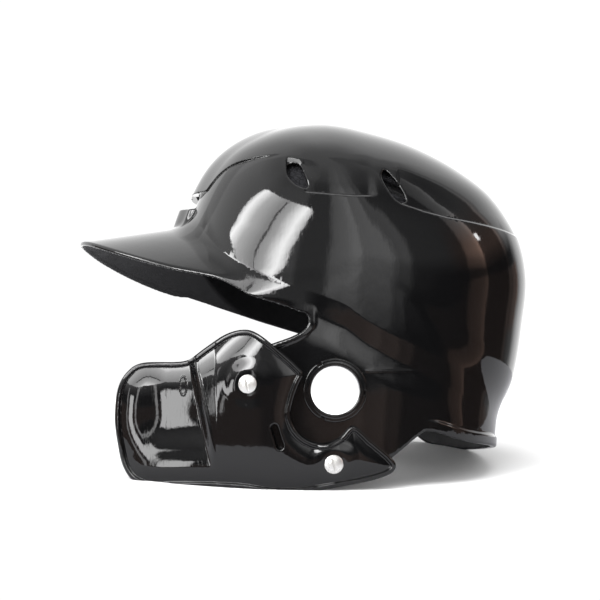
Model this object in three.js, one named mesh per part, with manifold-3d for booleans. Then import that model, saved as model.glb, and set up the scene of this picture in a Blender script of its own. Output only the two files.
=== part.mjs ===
// Batting helmet with one ear flap, on the wearer's left, and a bolt-on jaw guard on that side.
//
// Millimetres, +Z up. The wearer's front is towards -Y and the wearer's left is towards +X.
// The helmet lies as it does on a shelf: rolled a little onto its right side, so that it stands on
// the jaw guard and on the right rear rim. The origin is on the shelf, under the middle of the whole helmet.
// Everything inside the helmet group is in the helmet's own upright frame, centred in the dome.
import * as THREE from "three";
import { mergeVertices } from "three/addons/utils/BufferGeometryUtils.js";
import Module from "manifold-3d";

const wasm = await Module();
wasm.setup();

// ---------------------------------------------------------------- driving dimensions

const ROLL = THREE.MathUtils.degToRad(10.5); // left side raised
const LIFT = 118.4; // dome centre above the shelf
const MIDDLE = { x: 9.6, y: -35.2 }; // middle of the whole helmet, from under the dome centre

const HALF_WIDTH = 105;
const ROUNDNESS = 2.4; // exponent of the dome's cross section, 2 is an ellipse
const WALL = 3.2;
// Side profile of the dome: angle in degrees from the rear (+Y) over the top, radius from the dome centre.
// The stretch under the dome is only the guide for the skirt and the flap, which run down inside it.
const SIDE_PROFILE = [
  [-90, 262], [-66, 186], [-48, 133.5], [-33, 121.8], [-17, 113.8], [0, 112.6], [15, 110.4],
  [31, 104.8], [48, 98.6], [65, 96.2], [85, 98.6], [104, 107.6], [122, 115.6], [140, 119],
  [160, 117.2], [180, 120], [200, 134], [222, 186], [246, 236], [270, 262],
];

const PANEL_RAISE = 5.6; // raised front panel of the dome, at its middle
const PANEL_EDGE_RAISE = 0.8; // and at its outline
const PANEL_FOOT = 60; // height of its lower lip, over the air intake
const PANEL_FLAT_TO = 10; // half width of its highest part, from where it slopes to its edge
const PANEL_SLOPE_TO = 42;
const SILL_RAISE = 10; // ledge under the air intake
const SILL_TOP = 46.5;
const SILL_HALF_WIDTH = 26;
const INTAKE_HALF_WIDTH = 21;

const BRIM_TIP_Y = -183;
const BRIM_TIP_Z = 27.8;
const BRIM_RISE = 0.14; // slope of the brim's centre line, rising to the dome
const BRIM_THICK = 3;
const TEMPLE_Y = -37; // where the brim's edge runs into the dome's side
const NAPE_Z = -112;

const EAR = { y: -25.4, z: -77.6 }; // ear hole centre, seen from the side
const EAR_HOLE_RADIUS = 14.9;
const RING_NECK_RADIUS = 17.2;
const RING_FLANGE_RADIUS = 19.6;
const RING_RAISE = 2;
const RING_NOTCHES = [120, 245, 355]; // degrees round the hole
const GAP = 0.35; // clearance between pieces that touch
const SEAM = 0.5; // overlap of left and right cuts at the middle

const GUARD_GAP = 1.5; // between the flap and the jaw guard
const GUARD_THICK = 3;
const WING_BEND_Y = -98; // the guard's cheek plate ends here and its wing begins
const WING_SLOPE = 0.5;
const WING_STEP = 1.2;
const SCREWS = { front: { y: -77, z: -72.6 }, rear: { y: -26.5, z: -121.9 } };
const SCREW_HEAD_RADIUS = 5.8;
const SCREW_SHANK_RADIUS = 2.2;
const NUT_BARREL_RADIUS = 3.7;
const NUT_FLANGE_RADIUS = 7;
const NUT_FLANGE_THICK = 1.2;
const SHANK_OVERHANG = 5; // how far a screw reaches past the flap's inner face
const BOSS_RAISE = 0.8; // the bosses under the screw heads, over the guard's face
const BOSS_RADIUS = 9;
const WASHER_RADIUS = 7;
const WASHER_THICK = 0.7;

const LINER_THICK = 14;
const PAD_THICK = 7;
const EAR_PAD_THICK = 12;
const PAD_GAP = 1.6; // room for the hook-and-loop dots
const LEAN = THREE.MathUtils.degToRad(25); // tilt of the headband plane
const HEADBAND_DROP = -12.6; // height of that plane at the dome centre
const RING_TOP = 60; // height of the liner's side blocks over the headband plane
const CROWN_SHIFT = -12; // middle of the crown block and pad, forward on that plane
const CROWN_PAD_RADIUS = 42;
const DOT_RADIUS = 9;
const DOT_SPREAD = 18;
const LINER_INSET = WALL + 1.8;
const PAD_INSET = LINER_INSET + LINER_THICK + PAD_GAP;

// Cutting shapes reach this far to the side, and this far down.
const SIDE = 130;
const DEEP = 400;

// ---------------------------------------------------------------- materials

function surface(color, roughness, metalness) {
  return new THREE.MeshStandardMaterial({ color, roughness, metalness });
}

const GLOSS_BLACK = [0x050506, 0.06, 0];
const RUBBER_BLACK = [0x111111, 0.8, 0];
const NICKEL = [0xc9c6bf, 0.25, 1];
const ZINC = [0x8d8f90, 0.4, 1];
const FOAM_GREY = [0x2a2b2d, 0.95, 0];
const FABRIC_BLACK = [0x151517, 0.9, 0];

// ---------------------------------------------------------------- solids

function solidOf(geometry) {
  const bare = geometry.index ? geometry.toNonIndexed() : geometry.clone();
  bare.deleteAttribute("normal");
  bare.deleteAttribute("uv");
  const merged = mergeVertices(bare, 1e-4);
  const vertProperties = merged.attributes.position.array;
  const triVerts = new Uint32Array(merged.index.array);
  return new wasm.Manifold(new wasm.Mesh({ numProp: 3, vertProperties, triVerts }));
}

function geometryOf(solid) {
  const made = solid.getMesh();
  const geometry = new THREE.BufferGeometry();
  geometry.setAttribute("position", new THREE.BufferAttribute(made.vertProperties, 3));
  geometry.setIndex(new THREE.BufferAttribute(made.triVerts, 1));
  const flat = geometry.toNonIndexed();
  flat.computeVertexNormals();
  return flat;
}

function outline(points) {
  const shape = new THREE.Shape();
  const corners = points.map(([a, b]) => new THREE.Vector2(a, b));
  shape.setFromPoints(corners);
  return shape;
}

// A closed curve through the points, in two straight steps per span.
function leaf(points) {
  const loop = new THREE.CatmullRomCurve3(points.map(([a, b]) => new THREE.Vector3(a, b, 0)), true);
  const steps = loop.getPoints(points.length * 2).slice(0, -1);
  return outline(steps.map((step) => [step.x, step.y]));
}

function extruded(shape, depth) {
  return new THREE.ExtrudeGeometry(shape, { depth, bevelEnabled: false });
}

// A shape drawn in (y, z), as seen from the wearer's left, carried from one x to another.
function sidePrism(shape, fromX, toX) {
  const turn = new THREE.Matrix4().makeBasis(
    new THREE.Vector3(0, 1, 0), new THREE.Vector3(0, 0, 1), new THREE.Vector3(1, 0, 0),
  );
  return solidOf(extruded(shape, toX - fromX).applyMatrix4(turn).translate(fromX, 0, 0));
}

// A shape drawn in (x, z), carried from one y to another.
function frontPrism(shape, fromY, toY) {
  const turn = new THREE.Matrix4().makeBasis(
    new THREE.Vector3(1, 0, 0), new THREE.Vector3(0, 0, 1), new THREE.Vector3(0, -1, 0),
  );
  return solidOf(extruded(shape, toY - fromY).applyMatrix4(turn).translate(0, toY, 0));
}

// A shape drawn in plan on the tilted headband plane, carried from one height over it to another.
function headbandPrism(shape, from, to) {
  const level = extruded(shape, to - from).translate(0, 0, from);
  return solidOf(level.rotateX(-LEAN).translate(0, 0, HEADBAND_DROP));
}

// A rod along the line of sight from the wearer's left.
function sideRod({ y, z }, radius, fromX) {
  const rod = new THREE.CylinderGeometry(radius, radius, SIDE - fromX, 28).rotateZ(-Math.PI / 2);
  return solidOf(rod.translate((fromX + SIDE) / 2, y, z));
}

// ---------------------------------------------------------------- dome surface

function profileRadius(angle) {
  const last = SIDE_PROFILE.length - 1;
  const turned = ((angle + 90) % 360 + 360) % 360 - 90;
  let i = 0;
  while (i < last - 1 && turned > SIDE_PROFILE[i + 1][0]) i += 1;
  const slopeAt = (k) => {
    const before = k === 0 ? last - 1 : k - 1;
    const after = k === last ? 1 : k + 1;
    const span = SIDE_PROFILE[after][0] - SIDE_PROFILE[before][0];
    return (SIDE_PROFILE[after][1] - SIDE_PROFILE[before][1]) / (span > 0 ? span : span + 360);
  };
  const [a0, r0] = SIDE_PROFILE[i];
  const [a1, r1] = SIDE_PROFILE[i + 1];
  const step = a1 - a0;
  const t = (turned - a0) / step;
  const easeOut = (1 + 2 * t) * (1 - t) * (1 - t);
  const easeIn = t * t * (3 - 2 * t);
  const leave = t * (1 - t) * (1 - t) * step * slopeAt(i);
  const arrive = t * t * (t - 1) * step * slopeAt(i + 1);
  return easeOut * r0 + easeIn * r1 + leave + arrive;
}

function sideAngle(y, z) {
  return THREE.MathUtils.radToDeg(Math.atan2(z, y));
}

// Where the dome, grown by some millimetres, is cut by a ray from its centre.
function domeReach(direction, grow) {
  const side = Math.hypot(direction.y, direction.z);
  const across = Math.abs(direction.x) / (HALF_WIDTH + grow);
  const along = side / (profileRadius(sideAngle(direction.y, direction.z)) + grow);
  return (across ** ROUNDNESS + along ** ROUNDNESS) ** (-1 / ROUNDNESS);
}

// How far out to the left the dome's surface lies at a place seen from the side.
function domeX(y, z, grow) {
  const along = Math.hypot(y, z) / (profileRadius(sideAngle(y, z)) + grow);
  return (HALF_WIDTH + grow) * Math.max(0, 1 - along ** ROUNDNESS) ** (1 / ROUNDNESS);
}

function domeNormal(y, z) {
  const step = 0.5;
  const alongY = (domeX(y + step, z, 0) - domeX(y - step, z, 0)) / (2 * step);
  const alongZ = (domeX(y, z + step, 0) - domeX(y, z - step, 0)) / (2 * step);
  return new THREE.Vector3(1, -alongY, -alongZ).normalize();
}

// The whole closed dome, grown by a rule that takes a place on the plain dome.
function swollenDome(rule, around, high) {
  const geometry = new THREE.SphereGeometry(1, around, high).rotateX(Math.PI / 2);
  const positions = geometry.attributes.position;
  const point = new THREE.Vector3();
  for (let i = 0; i < positions.count; i += 1) {
    point.fromBufferAttribute(positions, i);
    const plain = point.clone().multiplyScalar(domeReach(point, 0));
    point.multiplyScalar(domeReach(point, rule(plain)));
    positions.setXYZ(i, point.x, point.y, point.z);
  }
  return solidOf(geometry);
}

function dome(grow) {
  return swollenDome(() => grow, 40, 26);
}

// ---------------------------------------------------------------- brim

function brimTop(x, y) {
  const centre = BRIM_TIP_Z + BRIM_RISE * (y - BRIM_TIP_Y);
  const back = y + 150;
  const arch = 0.0058 + 0.000005 * back + 0.00000008 * back * back;
  return centre - arch * x * x;
}

// A solid from the brim's top face, lowered by some millimetres, down to a floor that follows a rule.
function underArch(lowered, floorRule) {
  const geometry = new THREE.BoxGeometry(1, 1, 1, 16, 9, 1);
  const positions = geometry.attributes.position;
  for (let i = 0; i < positions.count; i += 1) {
    const x = positions.getX(i) * 250;
    const y = THREE.MathUtils.lerp(-200, TEMPLE_Y, positions.getY(i) + 0.5);
    const isTop = positions.getZ(i) > 0;
    positions.setXYZ(i, x, y, isTop ? brimTop(x, y) - lowered : floorRule(x, y));
  }
  return solidOf(geometry);
}

const BRIM_HALF_PLAN = [[30, -175], [54, -156], [72.5, -128], [84.5, -92], [96.5, -54], [102, TEMPLE_Y - 0.5]];

function brim(cavity) {
  const mirrored = BRIM_HALF_PLAN.map(([x, y]) => [-x, y]).reverse();
  const edge = [...mirrored, [0, BRIM_TIP_Y], ...BRIM_HALF_PLAN];
  const curve = new THREE.SplineCurve(edge.map(([x, y]) => new THREE.Vector2(x, y)));
  const plan = new THREE.Shape(curve.getPoints(28));
  const cutter = solidOf(extruded(plan, 200).translate(0, 0, -100));
  const sheet = underArch(0, (x, y) => brimTop(x, y) - BRIM_THICK);
  return sheet.intersect(cutter).subtract(cavity);
}

// ---------------------------------------------------------------- shell

// Edge of the ear flap from the temple down its front to its foot, seen from the left.
const FLAP_FRONT = [
  [TEMPLE_Y, -30], [-42, -38], [-50, -43.5], [-66, -49], [-81, -54.5], [-90.5, -64], [-93, -78],
  [-89, -94], [-78, -110], [-60, -123], [-40, -131], [-24, -132.5],
];
// And on from its foot, up its rear and along the rim to the nape.
const FLAP_REAR = [
  [-24, -132.5], [-8, -129], [9, -119.5], [27, -105.5], [35, -103.2], [60, -109.5], [90, NAPE_Z],
];
// Rim of the side without a flap, from the temple over the ear to the nape, seen from the left.
const BARE_RIM = [
  [-110, -1], [-66, -14.5], [-47, -20], [-30, -25], [-10, -31], [8, -37.5], [24, -48], [36, -65], [45, -86],
  [52, -99.5], [61, -106.4], [76, -110.5], [90, NAPE_Z],
];

function belowRim(edge, fromX, toX) {
  const around = [[220, NAPE_Z], [220, -DEEP], [-220, -DEEP], [-220, edge[0][1]]];
  return sidePrism(outline([...edge, ...around]), fromX, toX);
}

// The face opening: everything under the brim and in front of the temples.
function faceOpening() {
  const over = [[-220, 90], [TEMPLE_Y, 90]];
  const left = outline([...over, ...FLAP_FRONT, [-24, -DEEP], [-220, -DEEP]]);
  const right = outline([...over, [TEMPLE_Y, -DEEP], [-220, -DEEP]]);
  const reach = sidePrism(left, 0, SIDE).add(sidePrism(right, -SIDE, SEAM));
  return reach.intersect(underArch(BRIM_THICK - GAP, () => 10 - DEEP));
}

// Leaf-shaped side vents, front and rear, seen from the side.
const VENTS = [
  [[-50, 66], [-50.8, 58.5], [-46.5, 52.2], [-40, 49.6], [-40.3, 56], [-43.6, 65]],
  [[9, 60.5], [8, 55], [15, 41.6], [21.5, 40.6], [18.2, 50.3], [11.4, 60.2]],
];

function sideVents() {
  const cuts = VENTS.map((points) => sidePrism(leaf(points), -SIDE, SIDE));
  return cuts.reduce((all, vent) => all.add(vent));
}

// Height of the front panel over the plain dome: it fades to nothing at the crown and slopes to its sides.
function panelRaise({ x, y, z }) {
  const ease = THREE.MathUtils.smoothstep;
  const fade = ease(sideAngle(y, z), 98, 140);
  const middle = 1 - ease(Math.abs(x), PANEL_FLAT_TO, PANEL_SLOPE_TO);
  return fade * (PANEL_EDGE_RAISE + middle * (PANEL_RAISE - PANEL_EDGE_RAISE));
}

// Raised front panel: narrow over the intake, flaring and fading towards the crown.
function frontPanel(cavity) {
  const half = [[26, PANEL_FOOT], [41, PANEL_FOOT], [47, 68], [60, 76], [68, 84], [60, 96], [46, 112]];
  const shape = outline([...half, ...half.map(([x, z]) => [-x, z]).reverse()]);
  const raised = swollenDome(panelRaise, 72, 44);
  return raised.intersect(frontPrism(shape, -140, -34)).subtract(cavity);
}

function intakeSill(cavity) {
  const shape = outline([
    [-SILL_HALF_WIDTH, 34], [SILL_HALF_WIDTH, 34], [SILL_HALF_WIDTH, SILL_TOP], [-SILL_HALF_WIDTH, SILL_TOP],
  ]);
  return dome(SILL_RAISE).intersect(frontPrism(shape, -140, -80)).subtract(cavity);
}

function airIntake() {
  const shape = outline([
    [-INTAKE_HALF_WIDTH, SILL_TOP + 1], [INTAKE_HALF_WIDTH, SILL_TOP + 1],
    [INTAKE_HALF_WIDTH, PANEL_FOOT - 1], [-INTAKE_HALF_WIDTH, PANEL_FOOT - 1],
  ]);
  return frontPrism(shape, -140, -80);
}

function shell() {
  const cavity = dome(-WALL);
  const body = dome(0)
    .subtract(cavity)
    .subtract(belowRim(FLAP_REAR, 0, SIDE))
    .subtract(faceOpening());
  const front = brim(cavity).add(frontPanel(cavity)).add(intakeSill(cavity));
  return [
    belowRim(BARE_RIM, -SIDE, SEAM),
    airIntake(),
    sideVents(),
    sideRod(EAR, RING_NECK_RADIUS + GAP, 40),
    screwBore("front", NUT_BARREL_RADIUS + GAP),
    screwBore("rear", NUT_BARREL_RADIUS + GAP),
    shelf(),
  ].reduce((left, cut) => left.subtract(cut), body.add(front));
}

// The shelf as a solid in the helmet's frame: what stands on it gets a small flat there.
function shelf() {
  const box = new THREE.BoxGeometry(700, 700, 100).translate(0, 0, -50);
  return solidOf(box.applyMatrix4(helmet.matrix.clone().invert()));
}

// ---------------------------------------------------------------- ear hole ring

function earHoleRing() {
  const face = dome(RING_RAISE);
  const neck = face.subtract(dome(-WALL - 0.6)).intersect(sideRod(EAR, RING_NECK_RADIUS, 40));
  const flange = face.subtract(dome(GAP)).intersect(sideRod(EAR, RING_FLANGE_RADIUS, 40));
  const ring = neck.add(flange).subtract(sideRod(EAR, EAR_HOLE_RADIUS, 40));
  return RING_NOTCHES.reduce((left, degrees) => left.subtract(ringNotch(degrees)), ring);
}

function ringNotch(degrees) {
  const box = new THREE.BoxGeometry(90, 2.6, 3).translate(85, RING_FLANGE_RADIUS, 0);
  return solidOf(box.rotateX(THREE.MathUtils.degToRad(degrees)).translate(0, EAR.y, EAR.z));
}

// ---------------------------------------------------------------- jaw guard

function guardX(y, z, grow) {
  const past = Math.max(0, WING_BEND_Y - y);
  const step = WING_STEP * THREE.MathUtils.smoothstep(past, 0, 5);
  return domeX(Math.max(y, WING_BEND_Y), z, grow) - WING_SLOPE * past - step;
}

function guardSheet() {
  const geometry = new THREE.BoxGeometry(1, 1, 1, 1, 20, 9);
  const positions = geometry.attributes.position;
  for (let i = 0; i < positions.count; i += 1) {
    const y = THREE.MathUtils.lerp(-170, 18, positions.getY(i) + 0.5);
    const z = THREE.MathUtils.lerp(-146, -32, positions.getZ(i) + 0.5);
    const grow = positions.getX(i) > 0 ? GUARD_GAP + GUARD_THICK : GUARD_GAP;
    positions.setXYZ(i, guardX(y, z, grow), y, z);
  }
  return solidOf(geometry);
}

// Edge of the guard seen from the left: wing, cheek plate, hook round the ear hole, tail.
const GUARD_EDGE = [
  [-160.5, -91], [-158.5, -72], [-152, -61], [-142, -56], [-120, -56.5], [-112, -54.5], [-104, -49],
  [-92, -41.5], [-81, -39], [-72, -42], [-58, -54], [-49, -62.5], [-45.3, -67.5], [-48, -74], [-51, -82],
  [-53, -92], [-50, -101], [-43, -107.5], [-33, -110.3], [-23, -106.5], [-14.5, -99.6], [-3, -109], [8, -118.5],
  [11.5, -124], [8, -129], [-4, -133], [-20, -136], [-45, -139.5], [-65, -139.5], [-85, -136.5],
  [-110, -135], [-135, -134.5], [-148, -131], [-155, -122], [-158.5, -108],
];

// Adjusting slot beside the ear hole, with round ends.
function guardSlot() {
  const from = new THREE.Vector2(-62.8, -100);
  const to = new THREE.Vector2(-59.4, -111);
  const radius = 2.3;
  const tilt = to.clone().sub(from).angle();
  const shape = new THREE.Shape();
  shape.absarc(from.x, from.y, radius, tilt + Math.PI / 2, tilt - Math.PI / 2, false);
  shape.absarc(to.x, to.y, radius, tilt - Math.PI / 2, tilt + Math.PI / 2, false);
  return sidePrism(shape, 60, SIDE);
}

// A low round boss on the guard, standing from inside its plate to just over its face.
function screwBoss(which) {
  const foot = GUARD_GAP + 1;
  const height = GUARD_GAP + GUARD_THICK + BOSS_RAISE - foot;
  const boss = new THREE.CylinderGeometry(BOSS_RADIUS, BOSS_RADIUS + 1, height, 24).rotateX(Math.PI / 2);
  return solidOf(boss.translate(0, 0, foot + height / 2).applyMatrix4(screwPlace(which)));
}

function jawGuard() {
  const plate = guardSheet().intersect(sidePrism(outline(GUARD_EDGE), 0, SIDE));
  return plate
    .add(screwBoss("front"))
    .add(screwBoss("rear"))
    .subtract(guardSlot())
    .subtract(screwBore("front", SCREW_SHANK_RADIUS + GAP))
    .subtract(screwBore("rear", SCREW_SHANK_RADIUS + GAP))
    .subtract(shelf());
}

// ---------------------------------------------------------------- screws, nuts, washers

// A frame on the flap's outer face at a screw, with Z along the screw's axis, outwards.
function screwPlace(which) {
  const { y, z } = SCREWS[which];
  const turn = new THREE.Quaternion().setFromUnitVectors(new THREE.Vector3(0, 0, 1), domeNormal(y, z));
  const place = new THREE.Vector3(domeX(y, z, 0), y, z);
  return new THREE.Matrix4().compose(place, turn, new THREE.Vector3(1, 1, 1));
}

function screwBore(which, radius) {
  const rod = new THREE.CylinderGeometry(radius, radius, 40, 20).rotateX(Math.PI / 2);
  return solidOf(rod.applyMatrix4(screwPlace(which)));
}

function lathed(profile) {
  const points = profile.map(([radius, height]) => new THREE.Vector2(radius, height));
  return solidOf(new THREE.LatheGeometry(points, 24).rotateX(Math.PI / 2));
}

function guardScrew() {
  const seat = GUARD_GAP + GUARD_THICK + BOSS_RAISE + GAP;
  const shankEnd = -WALL - SHANK_OVERHANG;
  const shank = [[0, shankEnd], [SCREW_SHANK_RADIUS, shankEnd + 0.5], [SCREW_SHANK_RADIUS, seat]];
  const head = [
    [SCREW_HEAD_RADIUS, seat], [SCREW_HEAD_RADIUS, seat + 0.7],
    [4.6, seat + 1.7], [2.4, seat + 2.3], [0, seat + 2.4],
  ];
  const slot = new THREE.BoxGeometry(1.3, 14, 2).translate(0, 0, seat + 1.3 + 1);
  return lathed([...shank, ...head]).subtract(solidOf(slot));
}

function teeNut() {
  const flangeTop = -WALL - 1;
  const flangeEnd = flangeTop - NUT_FLANGE_THICK;
  const bore = SCREW_SHANK_RADIUS + GAP;
  return lathed([
    [bore, flangeEnd], [NUT_FLANGE_RADIUS, flangeEnd],
    [NUT_FLANGE_RADIUS, flangeTop], [NUT_BARREL_RADIUS, flangeTop],
    [NUT_BARREL_RADIUS, -0.4], [bore, -0.4], [bore, flangeEnd],
  ]);
}

function washer() {
  const bore = SCREW_SHANK_RADIUS + GAP;
  const top = GAP + WASHER_THICK;
  return lathed([[bore, GAP], [WASHER_RADIUS, GAP], [WASHER_RADIUS, top], [bore, top], [bore, GAP]]);
}

// ---------------------------------------------------------------- liner and pads

function layer(inset, thick) {
  const outside = swollenDome(() => -inset, 28, 18);
  return outside.subtract(swollenDome(() => -inset - thick, 28, 18));
}

// A wedge in plan between two angles, counted from the wearer's left towards the rear.
function wedge(fromDegrees, toDegrees, margin) {
  const middle = THREE.MathUtils.degToRad((fromDegrees + toDegrees) / 2);
  const half = THREE.MathUtils.degToRad((toDegrees - fromDegrees) / 2);
  const shift = margin / Math.sin(half);
  const tip = [shift * Math.cos(middle), shift * Math.sin(middle)];
  const far = [-1, 0, 1].map((side) => [
    tip[0] + 220 * Math.cos(middle + side * half),
    tip[1] + 220 * Math.sin(middle + side * half),
  ]);
  return outline([tip, ...far]);
}

function linerBlock(from, to, foot) {
  return layer(LINER_INSET, LINER_THICK).intersect(headbandPrism(wedge(from, to, 2.5), foot, RING_TOP));
}

function comfortPad(from, to, foot, top) {
  return layer(PAD_INSET, PAD_THICK).intersect(headbandPrism(wedge(from, to, 0), foot, top));
}

function crownDisc(radius) {
  const corners = Array.from({ length: 32 }, (_, i) => (i / 16) * Math.PI);
  return outline(corners.map((turn) => [radius * Math.cos(turn), CROWN_SHIFT + radius * Math.sin(turn)]));
}

function crownBlock() {
  return layer(LINER_INSET, LINER_THICK).intersect(headbandPrism(crownDisc(180), RING_TOP + 5, 140));
}

function crownPad() {
  return layer(PAD_INSET, PAD_THICK).intersect(headbandPrism(crownDisc(CROWN_PAD_RADIUS), 40, 140));
}

// Hook-and-loop dot between the crown liner and the crown pad, at a place seen from above.
function crownDot(x, y) {
  const gap = 0.4;
  const sheet = layer(LINER_INSET + LINER_THICK + gap, PAD_GAP - 2 * gap);
  const rod = new THREE.CylinderGeometry(DOT_RADIUS, DOT_RADIUS, 120, 20).rotateX(Math.PI / 2);
  return sheet.intersect(solidOf(rod.translate(x, y + CROWN_SHIFT, 100).rotateX(-LEAN)));
}

function earFlapPad() {
  const edge = [
    [-58, -58], [-64, -72], [-63, -90], [-55, -107], [-38, -113], [-16, -112], [4, -107], [16, -94],
    [18, -72], [12, -52], [-6, -42], [-30, -41], [-50, -47],
  ];
  return layer(LINER_INSET, EAR_PAD_THICK)
    .intersect(sidePrism(outline(edge), 0, SIDE))
    .subtract(sideRod(EAR, 22, 20));
}

// ---------------------------------------------------------------- assembly

const root = new THREE.Group();
const helmet = new THREE.Group();
helmet.rotation.y = -ROLL;
helmet.position.set(-MIDDLE.x, -MIDDLE.y, LIFT);
helmet.updateMatrix();
root.add(helmet);

function place(name, solid, look, matrix) {
  const mesh = new THREE.Mesh(geometryOf(solid), surface(...look));
  mesh.name = name;
  if (matrix) matrix.decompose(mesh.position, mesh.quaternion, mesh.scale);
  helmet.add(mesh);
}

place("shell", shell(), GLOSS_BLACK);
place("ear_hole_ring", earHoleRing(), GLOSS_BLACK);
place("jaw_guard", jawGuard(), GLOSS_BLACK);
for (const which of ["front", "rear"]) {
  place(which + "_guard_screw", guardScrew(), NICKEL, screwPlace(which));
  place(which + "_tee_nut", teeNut(), ZINC, screwPlace(which));
  place(which + "_guard_washer", washer(), RUBBER_BLACK, screwPlace(which));
}

place("front_liner", linerBlock(-128, -52, 0), FOAM_GREY);
place("left_liner", linerBlock(-52, 46, 0), FOAM_GREY);
place("rear_liner", linerBlock(46, 134, -30), FOAM_GREY);
place("right_liner", linerBlock(134, 232, 0), FOAM_GREY);
place("crown_liner", crownBlock(), FOAM_GREY);

place("brow_pad", comfortPad(-118, -62, 1, 26), FABRIC_BLACK);
place("left_temple_pad", comfortPad(-44, -8, 3, 28), FABRIC_BLACK);
place("right_temple_pad", comfortPad(188, 224, 3, 28), FABRIC_BLACK);
place("nape_pad", comfortPad(62, 118, -26, 8), FABRIC_BLACK);
place("crown_pad", crownPad(), FABRIC_BLACK);
place("ear_flap_pad", earFlapPad(), FABRIC_BLACK);
[[-1, -1], [1, -1], [-1, 1], [1, 1]].forEach(([across, along], i) => {
  place("crown_pad_dot_" + (i + 1), crownDot(across * DOT_SPREAD, along * DOT_SPREAD), RUBBER_BLACK);
});

export default root;
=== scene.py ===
"""Batting helmet with one ear flap and a bolt-on jaw guard.

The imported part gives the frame. The smooth moulded surfaces, the foam, the pads and every material are
made here. Shapes are worked out in millimetres in the helmet's own upright frame, whose origin is the
middle of the dome, with the wearer's front towards -Y and the wearer's left towards +X. to_row() turns
them into the part's frame.
"""

import math

import bpy
import numpy as np
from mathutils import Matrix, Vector


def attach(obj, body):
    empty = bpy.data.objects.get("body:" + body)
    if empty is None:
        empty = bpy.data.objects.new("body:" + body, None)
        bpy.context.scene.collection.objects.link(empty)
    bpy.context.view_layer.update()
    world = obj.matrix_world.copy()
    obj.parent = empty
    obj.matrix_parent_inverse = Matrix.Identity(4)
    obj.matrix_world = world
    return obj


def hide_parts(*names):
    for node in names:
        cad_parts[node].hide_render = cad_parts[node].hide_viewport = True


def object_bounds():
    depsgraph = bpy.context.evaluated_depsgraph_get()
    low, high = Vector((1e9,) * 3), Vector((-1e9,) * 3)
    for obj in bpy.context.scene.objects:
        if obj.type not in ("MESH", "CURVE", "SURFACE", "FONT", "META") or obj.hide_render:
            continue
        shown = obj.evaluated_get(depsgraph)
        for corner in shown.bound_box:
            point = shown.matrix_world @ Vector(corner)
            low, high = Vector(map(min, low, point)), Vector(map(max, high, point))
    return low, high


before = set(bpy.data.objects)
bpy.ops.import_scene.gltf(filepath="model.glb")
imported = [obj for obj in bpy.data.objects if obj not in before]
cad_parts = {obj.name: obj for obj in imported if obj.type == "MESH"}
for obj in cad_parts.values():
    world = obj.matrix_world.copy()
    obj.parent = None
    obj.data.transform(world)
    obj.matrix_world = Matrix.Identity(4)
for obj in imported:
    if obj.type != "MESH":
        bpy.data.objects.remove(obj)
CAD_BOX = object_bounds()

# ---- driving dimensions, millimetres and degrees

ROLL = math.radians(10.5)  # the helmet rests with the wearer's left side this far up
LIFT = 118.4  # the dome's middle over the floor
SHIFT = (-9.6, 35.2, LIFT)  # the dome's middle in the part's frame

HALF_WIDTH = 105.0
ROUNDNESS = 2.4
WALL = 3.2
THINNEST_WALL = 2.1
# The dome seen from the side: degrees from the rear up over the top, and reach from its middle.
SIDE_PROFILE = [
    (-90, 262), (-66, 186), (-48, 133.5), (-33, 121.8), (-17, 113.8), (0, 112.6), (15, 110.4),
    (31, 104.8), (48, 98.6), (65, 96.2), (85, 98.6), (104, 107.6), (122, 115.6), (140, 119),
    (160, 117.2), (180, 120), (200, 134), (222, 186), (246, 236), (270, 262),
]

PANEL_RAISE = 5.6
PANEL_EDGE_RAISE = 1.9
PANEL_FOOT = 58.6
PANEL_FLAT_TO = 10.0
PANEL_SLOPE_TO = 42.0
SILL_RAISE = 9.6
SILL_TOP = 49.5
SILL_HALF_WIDTH = 26.0
SILL_FALL = 0.11
INTAKE_HALF_WIDTH = 21.0
INTAKE_TOP = PANEL_FOOT - 3.2
INTAKE_FLOOR = SILL_TOP + 1.2
FRONT_HALF = -60.0  # the intake's shapes end here, in front of the crown
VENT_FIELD_DEPTH = 0.8
FACET_DEPTH = 1.5
BAND_WIDTH = 9.0
BAND_SLOPE = (0.11, 0.46)  # the band's lean everywhere, and what is added low down

BRIM_TIP_Y = -183.0
BRIM_TIP_Z = 27.8
BRIM_RISE = 0.14
BRIM_ARCH = (8e-8, 5e-6, 0.0058)
BRIM_THICK = 3.0
BRIM_LIP = 0.9
BRIM_FILLET = (3.0, 11.0, 55.0)  # radius at the sides, added radius in the middle, and over what width
REAR_BEAD = 1.3
FLAP_BEAD = 0.9
RIB_Z = -66.0
RIB_HEIGHT = 0.3
TEMPLE_Y = -37.0
NAPE_Z = -112.0

EAR_Y = -25.4
EAR_Z = -77.6
EAR_HOLE_RADIUS = 14.9
RING_NECK_RADIUS = 17.2
RING_FLANGE_RADIUS = 19.6
RING_HEIGHT = 2.0
RING_NOTCHES = (120, 245, 355)
NOTCH_HALF_WIDTH = 1.3
NOTCH_FLOOR_RADIUS = 17.8
GAP = 0.35

GUARD_GAP = 1.5
GUARD_THICK = 3.0
WING_BEND_Y = -98.0
WING_SLOPE = 0.5
WING_CURL = 0.0018
WING_STEP = 1.4
WING_HOLLOW = 5.5
PILLOW_DROP = 1.5
PILLOW_WIDTH = 13.0
GUARD_BEAD = 1.7
MARK_HEIGHT = 0.4
SLOT_FROM = (-62.8, -100.0)
SLOT_TO = (-59.4, -111.0)
SLOT_RADIUS = 2.3
SCREWS = {"front": (-77.0, -72.6), "rear": (-26.5, -121.9)}
SLOT_TURNS = {"front": 1.45, "rear": 1.75}  # radians
SCREW_HEAD_RADIUS = 5.8
SCREW_SHANK_RADIUS = 2.2
NUT_BARREL_RADIUS = 3.7
NUT_FLANGE_RADIUS = 7.0
NUT_FLANGE_THICK = 1.2
WASHER_RADIUS = 7.0
WASHER_TOP = 1.05
BOSS_RAISE = 0.8

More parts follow.
